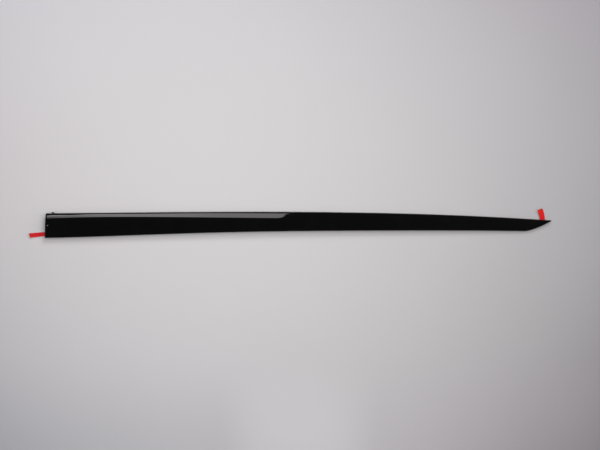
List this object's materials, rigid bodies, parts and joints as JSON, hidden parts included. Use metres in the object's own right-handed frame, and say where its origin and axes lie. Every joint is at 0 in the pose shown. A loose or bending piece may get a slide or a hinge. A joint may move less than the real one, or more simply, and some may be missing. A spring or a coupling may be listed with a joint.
{
  "type": "car body side moulding",
  "caption": "Long tapering gloss black car body side moulding with foam tape and red release liners with pull tabs.",
  "frame": {"origin": "centre of the part's box in plan, on the level surface that the release liners lie on", "axes": "+X along the moulding from its square end to its point, +Y across it towards the edge with the bevel, +Z out of the face"},
  "size_m": [1.047, 0.059, 0.012],
  "materials": {
    "blade": "deep gloss black paint, smooth, with a satin unpainted back",
    "tape": "dark grey closed cell acrylic foam",
    "liner": "thin red polyethylene film, satin, with light creases"
  },
  "bodies": {
    "root": {"moulding": "blade", "upper_foam_tape": "tape", "lower_foam_tape": "tape", "upper_release_liner": "liner", "lower_release_liner": "liner"}
  },
  "joints": []
}
